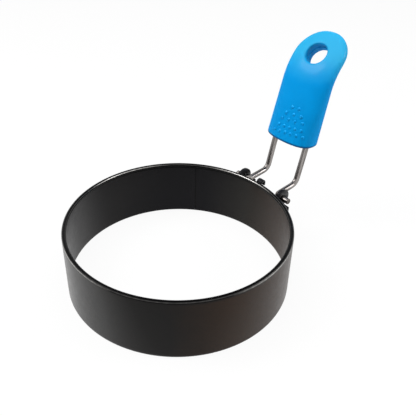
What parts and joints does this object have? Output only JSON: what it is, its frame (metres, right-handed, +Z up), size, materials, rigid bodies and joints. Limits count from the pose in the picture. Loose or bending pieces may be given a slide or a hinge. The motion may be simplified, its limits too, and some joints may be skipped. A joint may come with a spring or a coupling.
{
  "type": "egg ring",
  "caption": "Round black-coated steel egg ring with a folding bent-wire handle in a blue silicone grip with a hang hole.",
  "frame": {"origin": "under the middle of the whole part's box, on the surface it stands on", "axes": "+X from the ring towards the handle, +Z up, +Y across the handle"},
  "size_m": [0.1458, 0.1008, 0.0939],
  "materials": {
    "black_coating": "satin black non-stick coating on steel",
    "bright_wire": "bright plated steel wire",
    "blue_silicone": "satin silicone"
  },
  "bodies": {
    "ring": {"ring_band": "black_coating", "hinge_bracket": "black_coating"},
    "handle": {"wire_handle": "bright_wire", "grip": "blue_silicone"}
  },
  "joints": [
    {"name": "handle_fold", "type": "hinge", "parent": "ring", "child": "handle", "pos_m": [0.031, 0, 0.0246], "axis": [0, -1, 0], "range_deg": [0, 110]}
  ]
}
